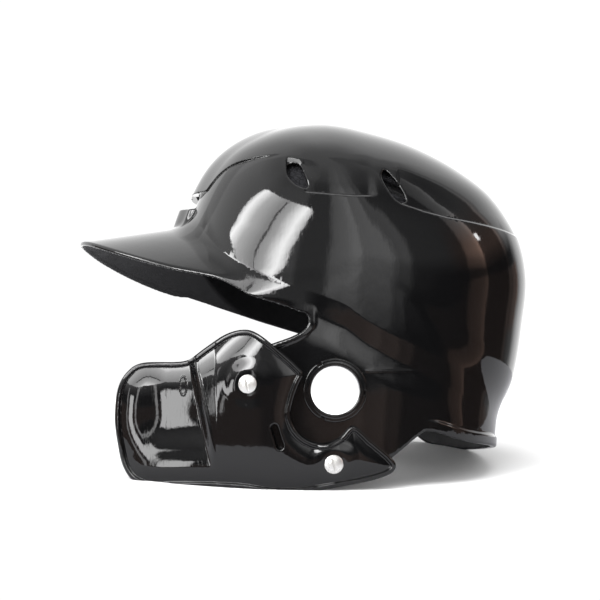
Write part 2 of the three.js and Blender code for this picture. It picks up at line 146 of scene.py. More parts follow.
LINER_INSET = WALL + 1.8
LINER_THICK = 14.0
PAD_THICK = 7.0
PAD_GAP = 1.6
PAD_INSET = LINER_INSET + LINER_THICK + PAD_GAP
RING_TOP = 60.0
LEAN = math.radians(25)
HEADBAND_DROP = -12.6
# Start and end of each block and pad in degrees from the wearer's left towards the rear, and its lower
# and upper edges over the headband.
LINER_BLOCKS = {
    "front": (-128, -52, 0),
    "left": (-52, 46, 0),
    "rear": (46, 134, -30),
    "right": (134, 232, 0),
}
SIDE_PADS = {
    "brow_pad": (-118, -62, 1, 26),
    "left_temple_pad": (-44, -8, 3, 28),
    "right_temple_pad": (188, 224, 3, 28),
    "nape_pad": (62, 118, -26, 8),
}
GROOVE_DEPTH = 3.5
GROOVE_HALF_WIDTH = 4.0
AIR_HOLE_RADIUS = 6.5
AIR_HOLES = [(0, 46), (0, -68), (46, -14), (-46, -14), (34, 30), (-34, 30), (34, -56), (-34, -56)]
PIPING_RADIUS = 0.9
CUSHION_VOXEL = 3.0
CUSHION_TUCK = 1.4  # how far the skin is drawn in before it is blown up
CUSHION_CAP = 3.0
EAR_CUSHION_CAP = 3.5
CLOTH_FRAMES = 20
CLOTH = {
    "use_pressure": True, "uniform_pressure_force": 4.0, "quality": 6, "mass": 0.3,
    "tension_stiffness": 12, "compression_stiffness": 12, "shear_stiffness": 4,
}

# Outlines seen from the side, as (y, z): lower edges of the shell, vents and the jaw guard.
FLAP_EDGE = [
    (-37, -30), (-42, -38), (-50, -43.5), (-66, -49), (-81, -54.5), (-90.5, -64), (-93, -78), (-89, -94),
    (-78, -110), (-60, -123), (-40, -131), (-24, -132.5), (-8, -129), (9, -119.5), (27, -105.5),
    (35, -103.2), (60, -109.5), (90, NAPE_Z),
]
BARE_RIM = [
    (-110, -1), (-66, -14.5), (-47, -20), (-30, -25), (-10, -31), (8, -37.5), (24, -48), (36, -65),
    (45, -86), (52, -99.5), (61, -106.4), (76, -110.5), (90, NAPE_Z),
]
VENTS = [
    [(-50, 66), (-50.8, 58.5), (-46.5, 52.2), (-40, 49.6), (-40.3, 56), (-43.6, 65)],
    [(9, 60.5), (8, 55), (15, 41.6), (21.5, 40.6), (18.2, 50.3), (11.4, 60.2)],
]
GUARD_EDGE = [
    (-160.5, -91), (-158.5, -72), (-152, -61), (-142, -56), (-120, -56.5), (-112, -54.5), (-104, -49),
    (-92, -41.5), (-81, -39), (-72, -42), (-58, -54), (-49, -62.5), (-45.3, -67.5), (-48, -74), (-51, -82),
    (-53, -92), (-50, -101), (-43, -107.5), (-33, -110.3), (-23, -106.5), (-14.5, -99.6), (-3, -109),
    (8, -118.5), (11.5, -124), (8, -129), (-4, -133), (-20, -136), (-45, -139.5), (-65, -139.5),
    (-85, -136.5), (-110, -135), (-135, -134.5), (-148, -131), (-155, -122), (-158.5, -108),
]
# The brim's left half seen from above, as (x, y).
BRIM_HALF_PLAN = [(30, -175), (54, -156), (72.5, -128), (84.5, -92), (96.5, -54), (102, TEMPLE_Y - 0.5)]
# Seen from the front, as (|x|, z): the edge of the proud front panel, and the crease where each side
# panel meets the band round it.
PANEL_SIDE = [
    (77, 74), (71.6, 73.7), (63.8, 72.9), (54.2, 70.4), (46.8, 66), (41.4, 59.6), (34.6, 51.5), (25, 43),
]
SIDE_PANEL = [
    (78, 76), (72.7, 73.8), (64.6, 71.4), (61.6, 68.1), (60.6, 55.3), (58.7, 40.8), (53.2, 26), (56, 21.5),
    (61, 18.7), (72.3, 13), (84.4, 4.2), (92.8, -4), (99.2, -12.1), (101, -16.7),
]
# Seen from the side, as (y, z): the ridge over the ear flap, on which the band runs on.
FLAP_RIDGE = [
    (-58, -9), (-46, -14), (-35, -18), (-18, -25.4), (-6, -34.5), (8, -42.5), (26, -51), (59, -67),
    (76, -79),
]
# The sunk fields behind the side vents: where each starts and ends in y, and its lower edge's y and z.
VENT_STEPS = [
    (-41, 0, [-41, -26, -11, 0], [46.5, 44.6, 43.2, 43.4]),
    (18, 104, [18, 33, 48, 70, 96], [38.6, 33.6, 30.2, 27.6, 24.9]),
]

# Boxes that the mouldings are made in, and the sides of their cells.
SHELL_BOX = ((-112, -190, -138), (112, 120, 118))
RING_BOX = ((84, -48, -100), (112, -3, -55))
GUARD_BOX = ((30, -166, -146), (116, 18, -32))
SCREW_BOX = ((-8, -8, -10), (8, 8, 10))
LINER_BOX = ((-106, -124, -100), (106, 118, 112))
SHELL_CELL = 1.0
GUARD_CELL = 0.65
LINER_CELL = 2.0
RING_CELL = 0.6
NUT_CELL = 0.35
SCREW_CELL = 0.25
MOST_FACES = 190000

# ---- fields: negative inside, about a distance in mm


def smooth_step(low, high, value):
    t = np.clip((value - low) / (high - low), 0, 1)
    return t * t * (3 - 2 * t)


def join(a, b, radius):
    h = np.clip(0.5 + 0.5 * (b - a) / radius, 0, 1)
    return b * (1 - h) + a * h - radius * h * (1 - h)


def cut(a, tool, radius):
    return -join(-a, tool, radius)


def both(a, b, radius):
    """What lies in both, with the edge between them rounded."""
    over_a = np.maximum(a + radius, 0)
    over_b = np.maximum(b + radius, 0)
    return np.minimum(np.maximum(a, b) + radius, 0) + np.hypot(over_a, over_b) - radius


def smooth_path(points, closed, per_span=6):
    """A curve through the points, with as many short straight steps per span."""
    p = np.array(points, float)
    ends = (p[-1:], p[:2]) if closed else (2 * p[:1] - p[1:2], 2 * p[-1:] - p[-2:-1])
    q = np.concatenate([ends[0], p, ends[1]])
    spans = len(p) if closed else len(p) - 1
    t = np.linspace(0, 1, per_span, endpoint=False)[:, None]
    path = []
    for a, b, c, d in zip(q[:spans], q[1:], q[2:], q[3:]):
        bend = (2 * a - 5 * b + 4 * c - d) * t**2 + (3 * b - a - 3 * c + d) * t**3
        path.append(0.5 * (2 * b + (c - a) * t + bend))
    if not closed:
        path.append(p[-1:])
    return np.concatenate(path)


class Outline:
    """Signed distance to a closed outline, tabled on a fine grid and read between its nodes."""

    REACH = 14.0
    LIMIT = 205.0

    def __init__(self, points, cell=1.0):
        p = np.array(points, float)
        low = np.maximum(p.min(0) - self.REACH, -self.LIMIT)
        high = np.minimum(p.max(0) + self.REACH, self.LIMIT)
        self.low = low
        self.cell = cell
        a = np.arange(low[0], high[0] + cell, cell)[:, None]
        b = np.arange(low[1], high[1] + cell, cell)[None, :]
        nearest = np.full((a.size, b.size), 1e9)
        inside = np.zeros((a.size, b.size), bool)
        for (a0, b0), (a1, b1) in zip(p, np.roll(p, -1, axis=0)):
            da, db = a1 - a0, b1 - b0
            length = da * da + db * db
            if length < 1e-9:
                continue
            t = np.clip(((a - a0) * da + (b - b0) * db) / length, 0, 1)
            nearest = np.minimum(nearest, (a - a0 - t * da) ** 2 + (b - b0 - t * db) ** 2)
            if db:
                inside ^= ((b0 > b) != (b1 > b)) & (a < a0 + da * (b - b0) / db)
        self.table = np.sqrt(nearest) * np.where(inside, -1, 1)

    def __call__(self, a, b):
        rows, columns = self.table.shape
        i = np.clip((a - self.low[0]) / self.cell, 0, rows - 1.001)
        j = np.clip((b - self.low[1]) / self.cell, 0, columns - 1.001)
        i, j = np.broadcast_arrays(i, j)
        i0, j0 = i.astype(int), j.astype(int)
        u, v = i - i0, j - j0
        t = self.table
        near = t[i0, j0] * (1 - v) + t[i0, j0 + 1] * v
        far = t[i0 + 1, j0] * (1 - v) + t[i0 + 1, j0 + 1] * v
        return near * (1 - u) + far * u


def profile_tables():
    """The side profile as a smooth closed curve: fine angles, reach, and how fast the reach changes."""
    angles, radii = np.array(SIDE_PROFILE, float).T
    round_angles = np.concatenate([[angles[-2] - 360], angles, [angles[1] + 360]])
    round_radii = np.concatenate([[radii[-2]], radii, [radii[1]]])
    slopes = (round_radii[2:] - round_radii[:-2]) / (round_angles[2:] - round_angles[:-2])
    fine = np.arange(-90, 270.01, 0.25)
    i = np.clip(np.searchsorted(angles, fine, side="right") - 1, 0, len(angles) - 2)
    step = angles[i + 1] - angles[i]
    t = (fine - angles[i]) / step
    reach = (1 + 2 * t) * (1 - t) ** 2 * radii[i] + t**2 * (3 - 2 * t) * radii[i + 1]
    reach += t * (1 - t) ** 2 * step * slopes[i] + t**2 * (t - 1) * step * slopes[i + 1]
    return fine, reach, np.gradient(reach, np.radians(fine))


PROFILE = profile_tables()


def side_angle(y, z):
    return (np.degrees(np.arctan2(z, y)) + 90) % 360 - 90


def dome(x, y, z):
    """Height over the plain dome, whose sections across are superellipses."""
    fine, reaches, bends = PROFILE
    angle = side_angle(y, z)
    reach = np.interp(angle, fine, reaches)
    bend = np.interp(angle, fine, bends)
    across = np.abs(x) / HALF_WIDTH + 1e-6
    along = np.hypot(y, z) / reach + 1e-6
    gauge = (across**ROUNDNESS + along**ROUNDNESS) ** (1 / ROUNDNESS)
    steep_x = across ** (ROUNDNESS - 1) / HALF_WIDTH
    steep_side = along ** (ROUNDNESS - 1) / reach * np.sqrt(1 + (bend / reach) ** 2)
    slope = gauge ** (1 - ROUNDNESS) * np.hypot(steep_x, steep_side)
    return (gauge - 1) / slope


def dome_x(y, z, grow):
    """How far left the dome reaches at a place seen from the side."""
    reach = np.interp(side_angle(y, z), PROFILE[0], PROFILE[1])
    along = np.hypot(y, z) / (reach + grow)
    return (HALF_WIDTH + grow) * np.maximum(0, 1 - along**ROUNDNESS) ** (1 / ROUNDNESS)


def dome_normal(y, z):
    step = 0.5
    along_y = (dome_x(y + step, z, 0) - dome_x(y - step, z, 0)) / (2 * step)
    along_z = (dome_x(y, z + step, 0) - dome_x(y, z - step, 0)) / (2 * step)
    normal = np.array([1.0, -along_y, -along_z])
    return normal / np.linalg.norm(normal)


def floor_depth(x, z):
    """How far a place lies under the floor."""
    return -(math.sin(ROLL) * x + math.cos(ROLL) * z + LIFT)


# ---- field to mesh

CORNERS = [(i, j, k) for i in (0, 1) for j in (0, 1) for k in (0, 1)]
CELL_EDGES = [(a, b) for a in CORNERS for b in CORNERS if a < b and math.dist(a, b) == 1]


def surface_nets(values, low, cell):
    """A closed quad mesh of the field's zero level: one vertex in each cell that the surface crosses."""
    inside = values < 0
    nx, ny, nz = values.shape
    views = (inside[i:nx - 1 + i, j:ny - 1 + j, k:nz - 1 + k] for i, j, k in CORNERS)
    count = sum(view.astype(np.int8) for view in views)
    active = (count > 0) & (count < 8)
    number = np.full(active.shape, -1, np.int64)
    cells = np.argwhere(active)
    number[active] = np.arange(len(cells))
    total = np.zeros((len(cells), 3))
    crossings = np.zeros(len(cells))
    for start, end in CELL_EDGES:
        a = values[tuple((cells + start).T)]
        b = values[tuple((cells + end).T)]
        crossed = (a < 0) != (b < 0)
        share = np.where(crossed, a / np.where(crossed, a - b, 1), 0)
        total += crossed[:, None] * (np.array(start) + share[:, None] * (np.array(end) - np.array(start)))
        crossings += crossed
    vertices = np.array(low) + cell * (cells + total / crossings[:, None])
    quads = []
    for axis in range(3):
        u, v = (axis + 1) % 3, (axis + 2) % 3
        lower = np.take(inside, range(inside.shape[axis] - 1), axis)
        upper = np.take(inside, range(1, inside.shape[axis]), axis)
        for flip, mask in ((False, lower & ~upper), (True, ~lower & upper)):
            at = np.argwhere(mask)
            for side in (u, v):
                at = at[(at[:, side] > 0) & (at[:, side] < values.shape[side] - 1)]
            ring = []
            for du, dv in ((-1, -1), (0, -1), (0, 0), (-1, 0)):
                c = at.copy()
                c[:, u] += du
                c[:, v] += dv
                ring.append(number[tuple(c.T)])
            quads.append(np.stack(ring[::-1] if flip else ring, 1))
    return vertices, np.concatenate(quads)


def gradient(field, p, step):
    columns = []
    for axis in range(3):
        shift = np.zeros(3)
        shift[axis] = step
        ahead, behind = p + shift, p - shift
        columns.append((field(*ahead.T) - field(*behind.T)) / (2 * step))
    return np.stack(columns, 1)


def settle(field, p, cell, rounds=3):
    """Moves vertices onto the field's exact surface, never further than a cell."""
    start = p.copy()
    for _ in range(rounds):
        slope = gradient(field, p, 0.2 * cell)
        square = np.maximum((slope**2).sum(1), 0.3)
        p = p - (field(*p.T) / square)[:, None] * slope
        p = start + np.clip(p - start, -0.8 * cell, 0.8 * cell)
    slope = gradient(field, p, 0.4 * cell)
    return p, slope / np.maximum(np.linalg.norm(slope, axis=1), 1e-9)[:, None]


ROLLED = np.array([
    [math.cos(ROLL), 0, -math.sin(ROLL)],
    [0, 1, 0],
    [math.sin(ROLL), 0, math.cos(ROLL)],
])


def to_row(p):
    """Rows of places, from the helmet's frame in millimetres to the part's frame in metres."""
    return (p @ ROLLED.T + SHIFT) / 1000


def to_helmet(p):
    """And back."""
    return (p.astype(float) * 1000 - SHIFT) @ ROLLED


def turn_row(n):
    return n @ ROLLED.T


def put(name, data):
    """A new object in the scene."""
    piece = bpy.data.objects.new(name, data)
    bpy.context.scene.collection.objects.link(piece)
    return piece


def read_points(mesh):
    points = np.empty(len(mesh.vertices) * 3, np.float32)
    mesh.vertices.foreach_get("co", points)
    return points.reshape(-1, 3)


def write_points(mesh, points):
    mesh.vertices.foreach_set("co", np.asarray(points, np.float32).ravel())
    mesh.update()


def mesh_object(name, vertices, faces, normals=None):
    mesh = bpy.data.meshes.new(name)
    mesh.from_pydata(vertices, [], faces, shade_flat=False)
    mesh.validate()
    if normals is not None:
        mesh.normals_split_custom_set_from_vertices([tuple(n) for n in normals])
    return put(name, mesh)


BLOCK = 4
BLOCK_MARGIN = 3.5
BATCH = 300000


def tabled(field, axes, cell):
    """The field on a grid. Blocks of cells far from the surface take the value at their middle."""
    middles = [axis[:-1:BLOCK] + cell * BLOCK / 2 for axis in axes]
    coarse = np.asarray(field(*np.ix_(*middles)))
    near = np.abs(coarse) < BLOCK * cell + BLOCK_MARGIN
    values, wanted = coarse.astype(np.float32), near
    for axis in range(3):
        values = np.repeat(values, BLOCK, axis)
        values = np.concatenate([values, np.take(values, [-1], axis)], axis)
        wanted = np.repeat(wanted, BLOCK, axis)
        first, last = np.take(wanted, [0], axis), np.take(wanted, [-1], axis)
        wanted = np.concatenate([wanted, last], axis) | np.concatenate([first, wanted], axis)
    places = np.argwhere(wanted)
    for start in range(0, len(places), BATCH):
        i, j, k = places[start:start + BATCH].T
        values[i, j, k] = field(axes[0][i], axes[1][j], axes[2][k])
    return values


def moulded(name, field, box, cell, place=to_row, turn=turn_row):
    """A piece made from a field inside a box. Smaller cells give a finer mesh."""
    low, high = box
    axes = []
    for a, b in zip(low, high):
        blocks = math.ceil((b - a) / cell / BLOCK)
        axes.append(a + cell * np.arange(blocks * BLOCK + 1))
    vertices, quads = surface_nets(tabled(field, axes, cell), low, cell)
    vertices, normals = settle(field, vertices, cell)
    if 2 * len(quads) <= MOST_FACES:
        return mesh_object(name, place(vertices), quads, turn(normals))
    piece = mesh_object(name, vertices, quads)
    apply_modifier(piece, "DECIMATE", ratio=MOST_FACES / (2 * len(quads)))
    mesh = piece.data
    vertices, normals = settle(field, read_points(mesh).astype(float), cell, 1)
    mesh.polygons.foreach_set("use_smooth", np.ones(len(mesh.polygons), bool))
    write_points(mesh, place(vertices))
    mesh.normals_split_custom_set_from_vertices([tuple(n) for n in turn(normals)])
    return piece


# ---- shell


def brim_arch(y):
    """How sharply the brim bends down to its sides, more towards the rear."""
    return np.polyval(BRIM_ARCH, y + 150)


def brim_top(x, y):
    return BRIM_TIP_Z + BRIM_RISE * (y - BRIM_TIP_Y) - brim_arch(y) * x * x


def brim_slope(x, y):
    return np.sqrt(1 + (2 * brim_arch(y) * x) ** 2 + BRIM_RISE**2)


def closed_by(points, corners, cell=1.0):
    """An outline that follows a curve and then runs round by far corners."""
    return Outline(list(smooth_path(points, False)) + corners, cell)


UNDER = [(220, NAPE_Z), (220, -400), (-220, -400)]
FLAP_CUT = closed_by(FLAP_EDGE, UNDER + [(-220, 90), (TEMPLE_Y, 90)])
BARE_CUT = closed_by(BARE_RIM, UNDER + [(-220, -1)])
FACE_CUT = Outline([(-220, 90), (TEMPLE_Y, 90), (TEMPLE_Y, -400), (-220, -400)])
VENT_CUTS = [Outline(smooth_path(points, True), 0.5) for points in VENTS]
BRIM_RIGHT = [(-x, y) for x, y in BRIM_HALF_PLAN][::-1]
BRIM_PLAN = closed_by(BRIM_RIGHT + [(0, BRIM_TIP_Y)] + BRIM_HALF_PLAN, [])
PANEL_OUTLINE = closed_by(PANEL_SIDE, [(24, -60), (130, -60), (130, 130), (90, 90)], 0.5)
SIDE_OUTLINE = closed_by(SIDE_PANEL, [(130, -90), (130, 130), (90, 90)], 0.7)


def rim_distance(x, y, z):
    """Distance into the material from the rim, seen from the side."""
    under_brim = (z - brim_top(x, y) + BRIM_THICK) / brim_slope(x, y)
    left = -join(-FLAP_CUT(y, z), -under_brim, 7)
    right = np.minimum(BARE_CUT(y, z), np.maximum(FACE_CUT(y, z), under_brim))
    return np.where(x > 0, left, right)


def flare(x, y, z):
    """The band round each side panel leans out from its crease. Under the flap's ridge the face leans in."""
    away = np.abs(x)
    slope = BAND_SLOPE[0] + BAND_SLOPE[1] * (1 - smooth_step(6, 32, z))
    front = slope * np.clip(SIDE_OUTLINE(away, z), 0, BAND_WIDTH)
    front = front * smooth_step(8, 24, away) * smooth_step(-27, -17, z)
    front = front * (1 - smooth_step(-88, -46, y) * smooth_step(10, 40, z)) * (1 - smooth_step(-56, -42, y))
    below = np.maximum(0, np.interp(y, *zip(*FLAP_RIDGE)) - z)
    sunk = 0.08 * np.minimum(below, 15) * (1 - smooth_step(12, 34, below)) * (x > 0)
    return front - sunk * smooth_step(-50, -36, y) * (1 - smooth_step(30, 80, y))


def vent_fields(x, y, z):
    """The sunk fields behind the side vents, each fading upwards, and a facet over the front vents."""
    height = 0
    for low_y, high_y, line_y, line_z in VENT_STEPS:
        over = z - np.interp(y, line_y, line_z)
        sunk = smooth_step(-0.4, 0.5, over) * (1 - smooth_step(9, 30, over))
        along = smooth_step(low_y - 1, low_y + 1, y) * (1 - smooth_step(high_y - 3, high_y + 5, y))
        height = height + VENT_FIELD_DEPTH * sunk * along
    facet_top = np.interp(y, (-52, -50, -33), (71.6, 71.4, 67.6))
    down = np.clip((facet_top - z) / 3.6, 0, 1) * (1 - smooth_step(4, 15, facet_top - z))
    facet = down * np.clip((-31 - y) / 16, 0, 1) * smooth_step(-52, -50.6, y)
    return (height + FACET_DEPTH * facet) * smooth_step(20, 40, np.abs(x))


def front_panel(x, y, z, plain):
    """The proud middle of the front, highest at |x| = 0, with a small step at its sides and an open foot."""
    fade = smooth_step(98, 140, side_angle(y, z))
    middle = 1 - smooth_step(PANEL_FLAT_TO, PANEL_SLOPE_TO, np.abs(x))
    edge = PANEL_EDGE_RAISE * (1 - smooth_step(-84, -50, y))
    raised = plain + 0.3 * smooth_step(-66, -50, y) - fade * (edge + middle * (PANEL_RAISE - edge))
    foot = PANEL_FOOT - 0.06 * np.abs(x) - z
    inside = np.maximum(-PANEL_OUTLINE(np.abs(x), z), y + 20)
    return both(both(raised, inside, 0.6), foot, 0.4)


def intake_sill(x, y, z, plain):
    """The block under the air intake, which falls away to both sides."""
    away = np.abs(x)
    height = SILL_RAISE * (1 - 0.5 * smooth_step(6, SILL_HALF_WIDTH, away))
    block = both(plain - height, away - SILL_HALF_WIDTH, 2.5)
    block = both(block, z - SILL_TOP + SILL_FALL * away, 0.8)
    return np.maximum(block, y - FRONT_HALF)


def brim_plate(x, y, z):
    """A thin arched plate with a rolled lip."""
    off = BRIM_PLAN(x, y)
    lip = BRIM_LIP * smooth_step(-4.5, -3, off)
    over = (z - brim_top(x, y)) / brim_slope(x, y)
    under = -over - BRIM_THICK - lip
    return both(both(over, under, 0.4), off, 1.2)


def outer_face(x, y, z, plain):
    """Height over the dome's finished outside, whose panels, fields and rim bead it follows."""
    rim = rim_distance(x, y, z)
    bead = REAR_BEAD * smooth_step(8, 5.5, rim) * smooth_step(30, 40, y)
    rib = RIB_HEIGHT * np.exp(-(((z - RIB_Z) / 0.7) ** 2)) * smooth_step(-8, -3, y) * smooth_step(27, 16, y)
    edge = FLAP_BEAD * smooth_step(4.5, 3, rim) * smooth_step(-34, -50, z) * smooth_step(-20, -30, y)
    return plain - flare(x, y, z) + vent_fields(x, y, z) - bead - (rib + edge) * (x > 0)


def intake_slot(x, y, z):
    """The opening between the front panel's foot and the sill."""
    slot = both(np.abs(x) - INTAKE_HALF_WIDTH, z - INTAKE_TOP, 2)
    return np.maximum(both(slot, INTAKE_FLOOR - z, 2), y - FRONT_HALF)


def shell(x, y, z):
    plain = dome(x, y, z)
    outer = outer_face(x, y, z, plain)
    side_fillet, more_fillet, width = BRIM_FILLET
    body = join(outer, brim_plate(x, y, z), side_fillet + more_fillet * np.exp(-((x / width) ** 2)))
    body = join(body, intake_sill(x, y, z, plain), 2)
    body = join(body, front_panel(x, y, z, plain), 0.4)
    inner = -np.maximum(plain + WALL, outer + THINNEST_WALL)
    body = both(body, inner, 0.8)
    body = both(body, -rim_distance(x, y, z), 1.3)
    for vent in VENT_CUTS:
        body = cut(body, vent(y, z), 1.6)
    body = cut(body, intake_slot(x, y, z), 1.5)
    ear = np.hypot(y - EAR_Y, z - EAR_Z) - RING_NECK_RADIUS - GAP
    body = cut(body, np.maximum(ear, -x), 0.8)
    for which in SCREWS:
        body = cut(body, np.maximum(rod(x, y, z, which) - NUT_BARREL_RADIUS - GAP, -x), 0.4)
    return np.maximum(body, floor_depth(x, z))


# ---- ear hole ring and jaw guard


def disc(radius, size, height, low, high, top_round, foot_round):
    """A round plate between two heights."""
    return both(both(radius - size, height - high, top_round), low - height, foot_round)


def ear_ring(x, y, z):
    plain = dome(x, y, z)
    radius = np.hypot(y - EAR_Y, z - EAR_Z)
    neck = disc(radius, RING_NECK_RADIUS, plain, -WALL - 0.6, RING_HEIGHT, 0.6, 0.4)
    flange = disc(radius, RING_FLANGE_RADIUS, plain, GAP, RING_HEIGHT, 0.8, 0.2)
    body = both(join(neck, flange, 0.6), EAR_HOLE_RADIUS - radius, 0.9)
    angle = np.arctan2(z - EAR_Z, y - EAR_Y)
    for degrees in RING_NOTCHES:
        off = np.abs((angle - math.radians(degrees) + math.pi) % (2 * math.pi) - math.pi)
        notch = np.maximum(off * radius - NOTCH_HALF_WIDTH, NOTCH_FLOOR_RADIUS - radius)
        body = cut(body, notch, 0.5)
    return body


GUARD_OUTLINE = Outline(smooth_path(GUARD_EDGE, True), 0.7)


def wing_set(y, z):
    """How far the wing lies inside the cheek plate's sweep: deep at the top, flush at the bottom."""
    past = np.maximum(0, WING_BEND_Y - y)
    bend = WING_BEND_Y - 14 + 0.19 * (-55 - z)
    crossed = smooth_step(bend + 2.5, bend - 2.5, y)
    hollow = WING_HOLLOW * smooth_step(-126, -90, z) * smooth_step(-160, -128, y)
    step = WING_STEP * smooth_step(-132, -112, z)
    return WING_SLOPE * past + WING_CURL * past**2 + crossed * (step + hollow)


def guard_x(y, z, grow):
    return dome_x(np.maximum(y, WING_BEND_Y), z, grow) - wing_set(y, z)


def guard_sheet(x, y, z):
    """Distance from the middle of the guard's sheet, outwards."""
    step = 0.6
    middle = guard_x(y, z, GUARD_GAP + GUARD_THICK / 2)
    along_y = (guard_x(y + step, z, 2.0) - guard_x(y - step, z, 2.0)) / (2 * step)
    along_z = (guard_x(y, z + step, 2.0) - guard_x(y, z - step, 2.0)) / (2 * step)
    return (x - middle) / np.sqrt(1 + along_y**2 + along_z**2)


def screw_seat(which):
    """A screw's place on the flap's face, and its axis outwards."""
    at_y, at_z = SCREWS[which]
    return np.array([float(dome_x(at_y, at_z, 0)), at_y, at_z]), dome_normal(at_y, at_z)


def rod(x, y, z, which):
    """Distance from a screw's axis."""
    at, axis = screw_seat(which)
    off = (x - at[0], y - at[1], z - at[2])
    height = sum(o * a for o, a in zip(off, axis))
    return np.sqrt(np.maximum(sum(o * o for o in off) - height**2, 0))


def slot_distance(y, z):
    dy, dz = SLOT_TO[0] - SLOT_FROM[0], SLOT_TO[1] - SLOT_FROM[1]
    t = np.clip(((y - SLOT_FROM[0]) * dy + (z - SLOT_FROM[1]) * dz) / (dy * dy + dz * dz), 0, 1)
    return np.hypot(y - SLOT_FROM[0] - t * dy, z - SLOT_FROM[1] - t * dz) - SLOT_RADIUS


def jaw_guard(x, y, z):
    edge = GUARD_OUTLINE(y, z)
    sheet = guard_sheet(x, y, z)
    bead = GUARD_BEAD * smooth_step(-3.6, -2.2, edge)
    pillow = PILLOW_DROP * np.clip(1 + (edge + 3) / PILLOW_WIDTH, 0, 1) ** 2
    rods = [rod(x, y, z, which) for which in SCREWS]
    swell = sum((BOSS_RAISE + pillow) * (1 - smooth_step(7.5, 17, radius)) for radius in rods)
    mark = MARK_HEIGHT * smooth_step(0.9, 0.3, np.abs(np.hypot((y + 117.5) / 0.36, z + 71.8) - 5.9))
    outside = sheet - GUARD_THICK / 2 - bead + pillow - swell - mark
    body = both(both(outside, -sheet - GUARD_THICK / 2, 0.5), edge, 1.4)
    for radius in rods:
        body = cut(body, np.maximum(radius - SCREW_SHANK_RADIUS - GAP, -x), 0.4)
    body = cut(body, slot_distance(y, z), 1.0)
    return np.maximum(body, floor_depth(x, z))


# ---- screws, nuts and washers


def screw_frame(which):
    """Turns places in a screw's own frame, Z outwards along its axis, into the helmet's frame."""
    at, axis = screw_seat(which)
    turn = np.array(Vector((0, 0, 1)).rotation_difference(Vector(axis)).to_matrix())
    return (lambda p: to_row(p @ turn.T + at)), (lambda n: turn_row(n @ turn.T))


def guard_screw(slot_turn):
    seat = GUARD_GAP + GUARD_THICK + BOSS_RAISE + GAP

    def field(x, y, z):
        radius = np.hypot(x, y)
        crown = seat + 2.4 - 1.7 * (radius / SCREW_HEAD_RADIUS) ** 2.2
        head = disc(radius, SCREW_HEAD_RADIUS, z, seat, crown, 0.35, 0.15)
        shank = disc(radius, SCREW_SHANK_RADIUS, z, -WALL - 5, seat + 1, 0.1, 0.5)
        across = x * math.cos(slot_turn) + y * math.sin(slot_turn)
        slot = np.maximum(np.abs(across) - 0.5, seat + 1.3 - z)
        return cut(join(head, shank, 0.4), slot, 0.25)

    return field


def tee_nut(x, y, z):
    radius = np.hypot(x, y)
    top = -WALL - 1
    foot = top - NUT_FLANGE_THICK
    flange = disc(radius, NUT_FLANGE_RADIUS, z, foot, top, 0.25, 0.25)
    barrel = disc(radius, NUT_BARREL_RADIUS, z, foot, -0.4, 0.2, 0.2)
    return both(join(flange, barrel, 0.4), SCREW_SHANK_RADIUS + GAP - radius, 0.25)


def washer(x, y, z):
    radius = np.hypot(x, y)
    ring = disc(radius, WASHER_RADIUS, z, GAP, WASHER_TOP, 0.25, 0.25)
    return both(ring, SCREW_SHANK_RADIUS + GAP - radius, 0.2)


# ---- foam liner


def headband(x, y, z):
    """Coordinates in the tilted headband plane: plan place and height over it."""
    c, s = math.cos(LEAN), math.sin(LEAN)
    lifted = z - HEADBAND_DROP
    return x, c * y - s * lifted, s * y + c * lifted


def wedge(x, y, start, end, margin):
    """Signed distance to a wedge in plan, angles in degrees from the wearer's left towards the rear."""
    a, b = math.radians(start), math.radians(end)
    from_start = -(-math.sin(a) * x + math.cos(a) * y)
    from_end = -(math.sin(b) * x - math.cos(b) * y)
    return np.maximum(from_start, from_end) + margin


def layer(x, y, z, inset, thick, radius):
    plain = dome(x, y, z)
    return both(plain + inset, -(plain + inset + thick), radius)


def liner_block(start, end, foot):
    """One block of the ring round the head, between two angles, with three grooves in its inner face."""
    def field(x, y, z):
        px, py, height = headband(x, y, z)
        body = layer(x, y, z, LINER_INSET, LINER_THICK, 2.5)
        body = both(body, wedge(px, py, start, end, 2.5), 3)
        body = both(both(body, height - RING_TOP, 3), foot - height, 3)
        angle = np.degrees(np.arctan2(py, px))
        middle = (start + end) / 2
        off = (angle - middle + 180) % 360 - 180
        for place in (-24, 0, 24):
            across = np.radians(off - place) * np.hypot(px, py)
            floor = dome(x, y, z) + LINER_INSET + LINER_THICK - GROOVE_DEPTH
            body = cut(body, both(np.abs(across) - GROOVE_HALF_WIDTH, floor, 1.5), 1.5)
        return body

    return field


def crown_block(x, y, z):
    """The cap over the head, with a ring of air holes."""
    px, py, height = headband(x, y, z)
    body = layer(x, y, z, LINER_INSET, LINER_THICK, 2.5)
    body = both(body, RING_TOP + 5 - height, 3)
    for hx, hy in AIR_HOLES:
        body = cut(body, np.hypot(px - hx, py - hy) - AIR_HOLE_RADIUS, 2)
    return body


# ---- pads


def on_layer(start, direction, level):
    """Follows rays outwards from inside the dome until the dome's surface is that far off."""
    near = np.zeros(len(start))
    far = np.full(len(start), 200.0)
    for _ in range(40):
        middle = (near + far) / 2
        p = start + middle[:, None] * direction
        inside = dome(*p.T) < level
        near = np.where(inside, middle, near)
        far = np.where(inside, far, middle)
    return start + near[:, None] * direction


def from_headband(px, py, height):
    c, s = math.cos(LEAN), math.sin(LEAN)
    return np.stack([px, c * py + s * height, -s * py + c * height + HEADBAND_DROP], 1)


def rounded_loop(half_a, half_b, corner, count=160):
    """A rounded rectangle about the origin."""
    t = np.linspace(0, 2 * math.pi, count, endpoint=False)
    power = 2 / corner
    a = half_a * np.sign(np.cos(t)) * np.abs(np.cos(t)) ** power
    b = half_b * np.sign(np.sin(t)) * np.abs(np.sin(t)) ** power
    return a, b


